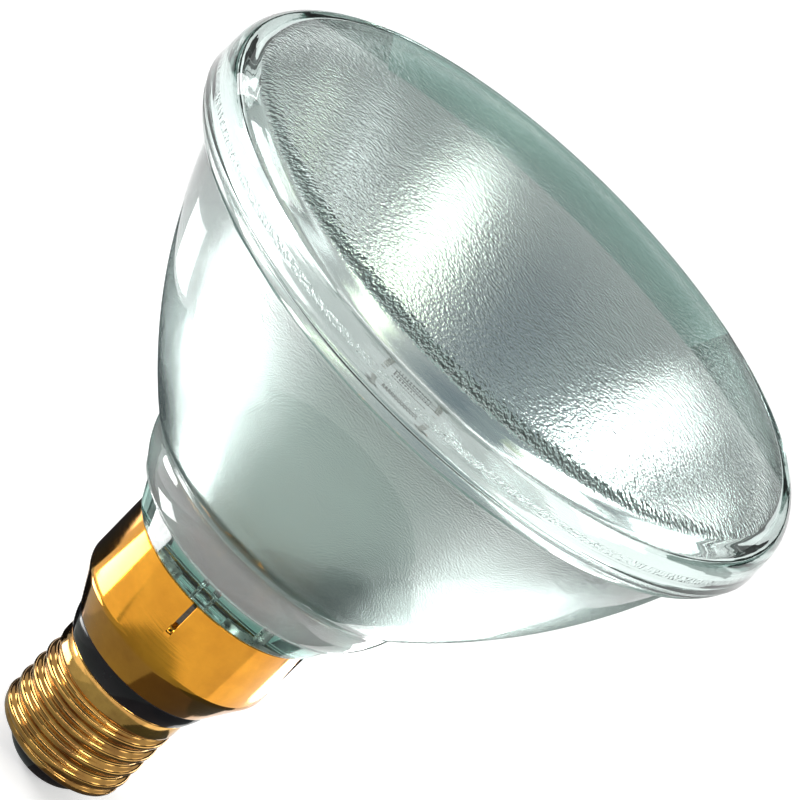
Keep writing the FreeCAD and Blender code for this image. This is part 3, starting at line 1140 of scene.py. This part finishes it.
    def dress(self) -> None:
        """Build both pieces and finish them."""
        glass = ClearGlass(self.stippled_face())
        dressed(self.build_glass(), glass.material(), "clear_glass", "lens", "reflector")
        dressed(self.build_film(), MirrorFilm().material(), "mirror_coating", "mirror_coating")


@dataclass
class Cap:
    """Brass skirt, screw shell, black glass insulators and the contact."""

    wall: float = 0.4
    edge_round: float = 0.12
    bend: float = 0.3
    crease_lift: float = 0.1
    shoulder_height: float = 7.9
    foot_radius: float = 15.2
    lip_radius: float = 11.8
    slot_width: float = 0.95
    slot_length: float = 6.1
    slot_overrun: float = 2.0
    ring_foot: float = 13.35
    ring_bore: float = 10.8
    ring_bulge: float = 0.2
    pitch: float = 3.629
    depth: float = 1.1
    shell_wall: float = 0.35
    shell_segments: int = 160
    thread_height: float = 16.9
    thread_rows: int = 150
    thread_lap: float = 0.2
    thread_gap: float = 0.05
    thread_fade: Point = (0.9, 0.7)
    thread_inset: Point = (0.3, 0.45)
    end_height: float = 2.1
    end_share: float = 0.85
    end_inset: float = 0.35
    end_rows: int = 8
    mouth_radius: float = 9.6
    crest_drop: float = 1.7
    collar: tuple[Point, ...] = ((0.3, 0.12), (0.06, 0.35), (0.0, 0.7), (0.0, 2.0))
    rim: tuple[Point, ...] = ((0.0, 0.45), (0.08, 0.18), (0.3, 0.0))
    tip_end_radius: float = 6.1
    tip_bulge: float = 0.5
    tip_bore: float = 1.7
    tip_recess: float = 0.5
    plug_inset: float = 0.35
    plug_seat: float = 0.02
    plug_waist: Point = (9.2, 1.2)
    plug_top_radius: float = 8.6
    plug_bore: float = 3.2
    contact_radius: float = 4.7
    contact_bore: float = 0.9
    contact_segments: int = 128
    solder_radius: float = 2.4
    solder_segments: int = 96

    def build_skirt(self) -> bpy.types.Object:
        """Turn the skirt and cut its slot.

        Returns:
            The skirt.
        """
        low, high = span_z("cap_skirt")
        outside = width("cap_skirt")
        crease = low + self.shoulder_height
        inner = outside - self.wall
        edge = high - self.edge_round
        line = Profile(outside, edge)
        line.line(outside, crease, soft=0.85)
        line.line(self.foot_radius, low, soft=self.bend)
        line.line(self.lip_radius, low, soft=0.1)
        line.line(self.lip_radius, low + self.wall, soft=0.1)
        line.line(self.foot_radius - self.bend, low + self.wall, soft=self.bend)
        line.line(inner, crease + self.crease_lift, soft=0.8)
        line.line(inner, edge, soft=0.1)
        line.line(outside - self.wall / 2, high, soft=self.edge_round)
        line.line(outside, edge, soft=0.1)
        skirt = Workshop.turned("cap_skirt_brass", line.points(steps=7))
        half = self.slot_width / 2
        over = self.slot_overrun
        foot = high - self.slot_length
        slot = Workshop.block("slot", (-half, -outside - over), (half, 0), foot, high + over)
        Workshop.carved(skirt, [slot])
        return skirt

    def build_ring(self) -> bpy.types.Object:
        """Turn the black ring between shell and skirt.

        Returns:
            The ring.
        """
        low, high = span_z("insulating_ring")
        line = Profile(self.ring_bore, low)
        line.line(self.ring_foot, low, soft=0.35)
        line.arc(width("insulating_ring"), high, self.ring_bulge, soft=0.3)
        line.line(self.ring_bore, high)
        line.line(self.ring_bore, low)
        return Workshop.turned("insulating_ring_glass", line.points())

    def thread_radius(self, z: float, turn: float, crest: float, crest_z: float) -> float:
        """Radius of the rolled thread at a height and a turn about the axis.

        Args:
            z: height in millimetres.
            turn: angle in radians.
            crest: radius of the crests.
            crest_z: height of a crest at angle zero.

        Returns:
            The outer radius in millimetres.
        """
        half = self.pitch / 2
        swell = self.depth / 2
        ball = ((half / 2) ** 2 + swell**2) / (2 * swell)
        along = ((z - crest_z) / self.pitch - turn / (2 * math.pi) + 0.25) % 1.0
        rising = along < 0.5
        off = (along if rising else along - 0.5) * self.pitch - half / 2
        rise = math.sqrt(ball**2 - off**2) - (ball - swell)
        return crest - swell + (rise if rising else -rise)

    @staticmethod
    def eased(share: float) -> float:
        """Smooth step of a share that is held between 0 and 1.

        Args:
            share: the share.

        Returns:
            The eased share.
        """
        share = min(1.0, max(0.0, share))
        return share * share * (3 - 2 * share)

    def _shell_line(self) -> list[Place]:
        """Draw the shell's outside, from its end over the thread to its rim.

        Returns:
            Radius and height of each row, and its share of the thread.
        """
        low, high = span_z("screw_shell")
        crest = width("screw_shell")
        top = low + self.thread_height
        foot = low + self.end_height
        line: list[Place] = []
        for step in range(self.end_rows + 1):
            angle = step / self.end_rows * math.pi / 2
            swell = (crest - self.end_inset - self.mouth_radius) * math.sin(angle)
            rise = self.end_height * self.end_share * (1 - math.cos(angle))
            line.append((self.mouth_radius + swell, low + rise, 0.0))
        for step in range(self.thread_rows + 1):
            reach = top - self.thread_gap - foot + self.thread_lap
            z = foot - self.thread_lap + reach * step / self.thread_rows
            from_foot = self.eased((z - foot + self.thread_lap) / self.thread_fade[0])
            to_top = self.eased((top - z) / self.thread_fade[1])
            inset = self.thread_inset[0 if z < (foot + top) / 2 else 1]
            line.append((crest - inset, z, from_foot * to_top))
        line.extend((crest - inset, top + rise, 0.0) for inset, rise in self.collar)
        line.extend((crest - inset, high - drop, 0.0) for inset, drop in self.rim)
        return line

    @staticmethod
    def _band(
        made: Mesh, first: list[bmesh.types.BMVert], second: list[bmesh.types.BMVert]
    ) -> None:
        """Close the band between two rings.

        Args:
            made: the mesh in work.
            first: points of the one ring.
            second: points of the other.
        """
        for step in range(len(first)):
            after = (step + 1) % len(first)
            made.faces.new((first[step], first[after], second[after], second[step]))

    def build_shell(self) -> bpy.types.Object:
        """Build the threaded shell with its rounded end and its collar.

        Returns:
            The shell.
        """
        crest = width("screw_shell")
        crest_z = span_z("screw_shell")[0] + self.thread_height - self.crest_drop
        made = bmesh.new()
        walls = []
        for inset in (0.0, self.shell_wall):
            rings = []
            for radius, z, share in self._shell_line():
                ring = []
                for step in range(self.shell_segments):
                    turn = 2 * math.pi * step / self.shell_segments
                    threaded = self.thread_radius(z, turn, crest, crest_z) if share else radius
                    across = (radius + (threaded - radius) * share - inset) * MM
                    spot = (across * math.cos(turn), across * math.sin(turn), z * MM)
                    ring.append(made.verts.new(spot))
                rings.append(ring)
            walls.append(rings)
            for lower, upper in zip(rings, rings[1:]):
                self._band(made, lower, upper)
        for end in (0, -1):
            self._band(made, walls[0][end], walls[1][end])
        return Workshop.finish_mesh("screw_shell_brass", made, Shade.SMOOTH)

    def build_tip(self) -> bpy.types.Object:
        """Turn the black glass cone at the tip, with its plug in the shell.

        Returns:
            The tip.
        """
        low, high = span_z("tip_insulator")
        end = span_z("screw_shell")[0]
        plug = self.mouth_radius - self.plug_inset
        line = Profile(self.tip_bore, low + self.tip_recess)
        line.line(self.contact_radius, low + self.tip_recess, soft=0.1)
        line.line(self.contact_radius, low, soft=0.1)
        line.line(self.tip_end_radius, low, soft=0.5)
        line.arc(self.mouth_radius, end, self.tip_bulge, soft=0.15)
        line.line(plug, end + self.plug_seat, soft=0.05)
        line.line(plug, end + self.plug_inset, soft=0.05)
        line.line(self.plug_waist[0], end + self.plug_waist[1], soft=0.3)
        line.line(self.plug_top_radius, high, soft=0.3)
        line.line(self.plug_bore, high, soft=0.2)
        line.line(self.tip_bore, end + self.plug_inset, soft=0.2)
        line.line(self.tip_bore, low + self.tip_recess)
        return Workshop.turned("tip_insulator_glass", line.points())

    def build_contact(self) -> bpy.types.Object:
        """Turn the contact plate.

        Returns:
            The plate.
        """
        low, high = span_z("centre_contact")
        line = Profile(self.contact_bore, low)
        line.line(self.contact_radius, low, soft=0.3)
        line.line(self.contact_radius, high, soft=0.1)
        line.line(self.contact_bore, high)
        line.line(self.contact_bore, low)
        return Workshop.turned("centre_contact_plate", line.points(), self.contact_segments)

    def build_solder(self) -> bpy.types.Object:
        """Turn the solder dome on the contact.

        Returns:
            The dome.
        """
        low, high = span_z("contact_solder")
        plate = span_z("centre_contact")[0]
        rise = plate - low
        ball = (self.solder_radius**2 + rise**2) / (2 * rise)
        line = Profile(0.0, low)
        line.curve(
            lambda r: low + ball - math.sqrt(ball**2 - r**2), self.solder_radius, soft=0.15, steps=16
        )
        line.line(self.contact_bore, plate, soft=0.05)
        line.line(self.contact_bore, high)
        line.line(0.0, high)
        points = line.points(closed=False)
        return Workshop.turned("contact_solder_dome", points, self.solder_segments, closed=False)

    def dress(self) -> None:
        """Build the cap's pieces and finish them."""
        skirt = Brass("skirt_brass")
        shell = Brass("shell_brass", (0.72, 0.4, 0.1), (0.2, 0.08, 0.025), 0.06, 0.14)
        black = BlackGlass().material()
        dressed(self.build_skirt(), skirt.material(), "skirt_brass", "cap_skirt")
        dressed(self.build_ring(), black, "black_glass", "insulating_ring")
        dressed(self.build_shell(), shell.material(), "shell_brass", "screw_shell")
        dressed(self.build_tip(), black, "black_glass", "tip_insulator")
        plate = Brass("contact_brass", (0.8, 0.6, 0.3), (0.6, 0.42, 0.2), 0.25, 0.4)
        dressed(self.build_contact(), plate.material(), "contact_metal", "centre_contact")
        dressed(self.build_solder(), SOLDER.material(), "solder", "contact_solder")


@dataclass
class InnerWorks:
    """Posts, ferrules, wires, cement and filament, which keep their frame solids."""

    nodes: dict[str, bpy.types.Object]
    finishes: dict[str, PlainMetal | BakedCement] = field(
        default_factory=lambda: {
            "lead_post": PlainMetal("satin_nickel", (0.62, 0.6, 0.57), (0.5, 0.48, 0.45)),
            "ferrule": PlainMetal("ferrule_metal", (0.6, 0.58, 0.55), (0.45, 0.43, 0.4)),
            "braze_joints": PlainMetal("silver_braze", (0.75, 0.73, 0.66), (0.6, 0.57, 0.48), 0.35),
            "filament": PlainMetal("tungsten", (0.32, 0.31, 0.3), (0.2, 0.19, 0.18), 0.45, 3000.0),
            "contact_lead": WIRE,
            "shell_lead": WIRE,
            "shell_solder": SOLDER,
            # basing cement, its near-black colour painted shade for the hollow seen through the
            # skirt's slot
            "basing_cement": BakedCement(),
        }
    )

    def dress(self) -> None:
        """Give each solid the finish of its group."""
        made: dict[str, bpy.types.Material] = {}
        for node, piece in self.nodes.items():
            for group, finish in self.finishes.items():
                if not node.startswith(group):
                    continue
                if finish.name not in made:
                    made[finish.name] = finish.material()
                piece.data.materials.clear()
                piece.data.materials.append(made[finish.name])
                LOG.info("%s keeps its frame solid", node)


# Studio


@dataclass(frozen=True)
class SoftBox:
    """A rectangular lamp that looks at the aim.

    Its azimuth is counted from the front towards +X and its elevation from the floor,
    both in degrees, and its brightness is what a mirror shows of it.
    """

    name: str
    azimuth: float
    elevation: float
    size: Point
    brightness: float
    color: Color = (1.0, 1.0, 1.0)
    distance: float = 1.0


@dataclass(frozen=True)
class Card:
    """A plain card or disc lying just above the floor, with its place in metres."""

    name: str
    place: Place
    size: Point
    color: Color = (0.03, 0.03, 0.03)
    glow: float = 0.0
    turn: float = 0.0
    round: bool = False


@dataclass(frozen=True)
class Screen:
    """A screen held up towards the aim, placed as a soft box is, with its own glow."""

    name: str
    azimuth: float
    elevation: float
    size: Point
    color: Color
    distance: float = 0.9


@dataclass
class Studio:
    """Camera, lights, floor and backdrop."""

    eye: Vector = field(default_factory=lambda: Vector((0.0, -0.6582, 0.3617)))
    aim: Vector = field(default_factory=lambda: Vector((-0.00011, 0.0, 0.096)))
    lens: float = 192.8
    film_width: float = 36.0
    sight: Point = (0.01, 50.0)
    roll: float = 45.0
    world_level: float = 0.6
    floor_reach: float = 6.0
    floor_drop: float = 0.0005
    floor_color: Color = (0.9, 0.9, 0.9)
    floor_roughness: float = 0.9
    floor_gloss: float = 0.1
    floor_lift: float = 0.4
    bounces: int = 12
    glass_bounces: int = 12
    gloss_bounces: int = 6
    matt_bounces: int = 2
    wall_radius: float = 1.6
    wall_height: float = 0.48
    wall_shade: float = 0.03
    boxes: tuple[SoftBox, ...] = (
        SoftBox("band_high", 42, 28.5, (0.32, 0.14), 11.0),
        SoftBox("band_yellow", 44, 35.5, (0.3, 0.13), 3.0, (0.9, 1.0, 0.5)),
        SoftBox("band_side", 90, 20, (0.22, 0.28), 2.2),
        SoftBox("side_fill", 118, 14, (0.34, 0.26), 0.9),
        SoftBox("blob", -86, 23, (0.58, 0.22), 11.0),
        SoftBox("rim_block", -119, 10, (0.18, 0.28), 5.0),
        SoftBox("front_strip", 0, 12, (1.4, 0.05), 8.0),
    )
    screens: tuple[Screen, ...] = (
        Screen("front_grey", -26, 35, (1.2, 0.46), (0.1, 0.125, 0.135)),
        Screen("front_blue", -14, 33.5, (0.44, 0.24), (0.0, 0.02, 0.05), 0.85),
        Screen("behind_dark", -176, 6, (0.095, 0.1), (0.14, 0.2, 0.185), 0.13),
    )
    cards: tuple[Card, ...] = (
        Card("shade_in_front", (0.0, -0.042, 0.0003), (0.132, 0.132), (0.44, 0.5, 0.48), 0, 0, True),
        Card(
            "shade_round_cap", (0.022, -0.004, 0.0006), (0.046, 0.046), (0.17, 0.165, 0.15), 0, 0, True
        ),
        Card("shade_low_body", (0.049, 0.0, 0.0008), (0.038, 0.062), (0.1, 0.12, 0.12)),
        Card("bright_left", (-0.095, -0.03, 0.0006), (0.07, 0.09), (1, 1, 1), 0.5, 12.0),
        Card("pale_left", (-0.055, -0.01, 0.0005), (0.05, 0.13), (0.62, 0.68, 0.66)),
        Card("window_left", (-0.104, -0.012, 0.0009), (0.034, 0.045), (1, 1, 1), 16.0, 12.0),
        Card("dark_left", (-0.0675, 0.1, 0.0006), (0.065, 0.145), (0.03, 0.036, 0.042)),
        Card("bright_by_rim", (-0.1225, 0.068, 0.0009), (0.038, 0.06), (1, 1, 1), 3.0),
        Card("bright_right", (0.078, 0.076, 0.0006), (0.04, 0.05), (1, 1, 1), 8.0, 45.0),
        Card("pale_right", (0.105, 0.012, 0.0006), (0.07, 0.08), (1, 1, 1), 0.9),
        Card("grey_behind", (0.082, 0.19, 0.0006), (0.1, 0.2), (0.38, 0.44, 0.42)),
        Card("dark_behind", (0.02, 0.115, 0.0009), (0.09, 0.05), (0.02, 0.02, 0.02)),
        Card("bright_by_shell", (-0.048, 0.0, 0.0009), (0.016, 0.03), (1, 1, 1), 8.0),
        Card("dark_by_shell", (-0.035, 0.032, 0.0009), (0.03, 0.025), (0.01, 0.01, 0.01)),
    )

    def axes(self) -> Matrix:
        """Camera axes, rolled as in the photo.

        Returns:
            A matrix with the axes as columns: right, up and towards the camera.
        """
        back = (self.eye - self.aim).normalized()
        right = Vector((0, 0, 1)).cross(back).normalized()
        up = back.cross(right)
        turn = math.radians(self.roll)
        rolled_right = right * math.cos(turn) + up * math.sin(turn)
        rolled_up = up * math.cos(turn) - right * math.sin(turn)
        return Matrix((rolled_right, rolled_up, back)).transposed()

    def build_camera(self) -> None:
        """Make the camera at the photo's place and roll."""
        data = bpy.data.cameras.new("camera")
        data.sensor_width = self.film_width
        data.sensor_fit = "HORIZONTAL"
        data.lens = self.lens
        data.clip_start, data.clip_end = self.sight
        camera = bpy.data.objects.new("camera", data)
        camera.matrix_world = Matrix.Translation(self.eye) @ self.axes().to_4x4()
        bpy.context.scene.collection.objects.link(camera)
        bpy.context.scene.camera = camera

    def towards(self, azimuth: float, elevation: float, distance: float) -> Matrix:
        """Place something that faces the aim from a distance.

        Args:
            azimuth: degrees from the front towards +X.
            elevation: degrees above the floor.
            distance: metres from the aim.

        Returns:
            The matrix in the world.
        """
        rise = math.sin(math.radians(elevation))
        flat = math.cos(math.radians(elevation))
        turn = math.radians(azimuth)
        way = Vector((flat * math.sin(turn), -flat * math.cos(turn), rise))
        facing = way.to_track_quat("Z", "Y").to_matrix().to_4x4()
        return Matrix.Translation(self.aim + way * distance) @ facing

    def hang(self, box: SoftBox) -> None:
        """Hang a soft box.

        Args:
            box: the box.
        """
        across, along = box.size
        data = bpy.data.lights.new(box.name, "AREA")
        data.shape = "RECTANGLE"
        data.size, data.size_y = across, along
        data.color = box.color
        data.energy = math.pi * across * along * box.brightness
        lamp = bpy.data.objects.new(box.name, data)
        lamp.matrix_world = self.towards(box.azimuth, box.elevation, box.distance)
        bpy.context.scene.collection.objects.link(lamp)

    @staticmethod
    def sheet(
        name: str, size: Point, color: Color, glow: float, disc: bool = False
    ) -> bpy.types.Object:
        """Make a flat sheet of the stage that only gloss and glass see.

        Args:
            name: name of the sheet.
            size: width and depth in metres.
            color: its colour.
            glow: how much of the colour it gives off by itself.
            disc: whether it is round.

        Returns:
            The sheet, lying at the origin.
        """
        made = bmesh.new()
        if disc:
            bmesh.ops.create_circle(made, cap_ends=True, segments=DISC_SIDES, radius=0.5)
        else:
            bmesh.ops.create_grid(made, x_segments=1, y_segments=1, size=0.5)
        for vert in made.verts:
            vert.co.x *= size[0]
            vert.co.y *= size[1]
        return Studio.staged(Workshop.finish_mesh(name, made, Shade.FLAT), color, glow)

    @staticmethod
    def staged(sheet: bpy.types.Object, color: Color, glow: float) -> bpy.types.Object:
        """Paint a sheet and make it a part of the stage that only gloss and glass see.

        Args:
            sheet: the sheet.
            color: its colour.
            glow: how much of the colour it gives off by itself.

        Returns:
            The sheet.
        """
        nodes = Nodes.fresh(sheet.name)
        shader = nodes.shader()
        shader.inputs["Base Color"].default_value = (*color, 1)
        shader.inputs["Roughness"].default_value = 1.0
        shader.inputs["Specular IOR Level"].default_value = 0.0
        shader.inputs["Emission Color"].default_value = (*color, 1)
        shader.inputs["Emission Strength"].default_value = glow
        nodes.material.cycles.emission_sampling = "NONE"
        sheet.data.materials.append(nodes.material)
        sheet.visible_camera = False
        sheet.visible_shadow = False
        sheet.visible_diffuse = False
        return sheet

    def raise_wall(self) -> None:
        """Stand a dark wall round the room, which draws the edges of the glass."""
        made = bmesh.new()
        bmesh.ops.create_cone(
            made,
            cap_ends=False,
            segments=64,
            radius1=self.wall_radius,
            radius2=self.wall_radius,
            depth=self.wall_height,
            matrix=Matrix.Translation((0, 0, self.wall_height / 2)),
        )
        wall = Workshop.finish_mesh("horizon_wall", made, Shade.SMOOTH)
        self.staged(wall, (self.wall_shade,) * 3, 1.0)

    def lay(self, card: Card) -> None:
        """Lay a card above the floor.

        Args:
            card: the card.
        """
        sheet = self.sheet(card.name, card.size, card.color, card.glow, card.round)
        turned = Matrix.Rotation(math.radians(card.turn), 4, "Z")
        sheet.matrix_world = Matrix.Translation(card.place) @ turned

    def hold_up(self, screen: Screen) -> None:
        """Hold up a screen.

        Args:
            screen: the screen.
        """
        sheet = self.sheet(screen.name, screen.size, screen.color, 1.0)
        sheet.matrix_world = self.towards(screen.azimuth, screen.elevation, screen.distance)

    def build_floor(self) -> None:
        """Lay a plain pale floor under the lamp."""
        made = bmesh.new()
        bmesh.ops.create_grid(made, x_segments=1, y_segments=1, size=self.floor_reach)
        floor = Workshop.finish_mesh("floor", made, Shade.FLAT)
        floor.location.z = -self.floor_drop
        nodes = Nodes.fresh("pale_floor")
        shader = nodes.shader()
        shader.inputs["Base Color"].default_value = (*self.floor_color, 1)
        shader.inputs["Roughness"].default_value = self.floor_roughness
        shader.inputs["Specular IOR Level"].default_value = self.floor_gloss
        shader.inputs["Emission Color"].default_value = (1, 1, 1, 1)
        seen = self._seen_by(nodes, (Ray.CAMERA, Ray.GLOSSY, Ray.TRANSMISSION))
        lift = nodes.reckon("MULTIPLY", seen, self.floor_lift)
        nodes.join(lift, shader.inputs["Emission Strength"])
        floor.data.materials.append(nodes.material)

    @staticmethod
    def _seen_by(nodes: Nodes, rays: tuple[Ray, ...]) -> Socket:
        """Tell the named rays from all others.

        Args:
            nodes: the material's tree.
            rays: the kinds of ray.

        Returns:
            Socket of a value that is one for them and else zero.
        """
        path = nodes.add("ShaderNodeLightPath")
        total = path.outputs[rays[0].value]
        for ray in rays[1:]:
            total = nodes.reckon("MAXIMUM", total, path.outputs[ray.value])
        return total

    def build_world(self) -> None:
        """Light the room evenly from all around."""
        world = bpy.data.worlds.new("studio")
        bpy.context.scene.world = world
        world.use_nodes = True
        tree = world.node_tree
        tree.nodes.clear()
        back = tree.nodes.new("ShaderNodeBackground")
        output = tree.nodes.new("ShaderNodeOutputWorld")
        back.inputs["Color"].default_value = (1, 1, 1, 1)
        back.inputs["Strength"].default_value = self.world_level
        tree.links.new(back.outputs[0], output.inputs["Surface"])

    def build_lights(self) -> None:
        """Hang the soft boxes, hold up the screens, lay the cards and raise the wall."""
        for box in self.boxes:
            self.hang(box)
        for screen in self.screens:
            self.hold_up(screen)
        for card in self.cards:
            self.lay(card)
        self.raise_wall()

    def build(self) -> None:
        """Set up the whole studio."""
        self.build_camera()
        self.build_floor()
        self.build_world()
        self.build_lights()
        scene = bpy.context.scene
        scene.view_settings.view_transform = "Standard"
        scene.cycles.max_bounces = self.bounces
        scene.cycles.transmission_bounces = self.glass_bounces
        scene.cycles.glossy_bounces = self.gloss_bounces
        scene.cycles.diffuse_bounces = self.matt_bounces


def main() -> None:
    """Build the lamp and the studio in order."""
    logging.basicConfig(level=logging.INFO, format="%(relativeCreated)6.0f ms  %(message)s")
    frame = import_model()
    GlassEnvelope().dress()
    Cap().dress()
    InnerWorks(frame["nodes"]).dress()
    Studio().build()


if __name__ == "__main__":
    main()
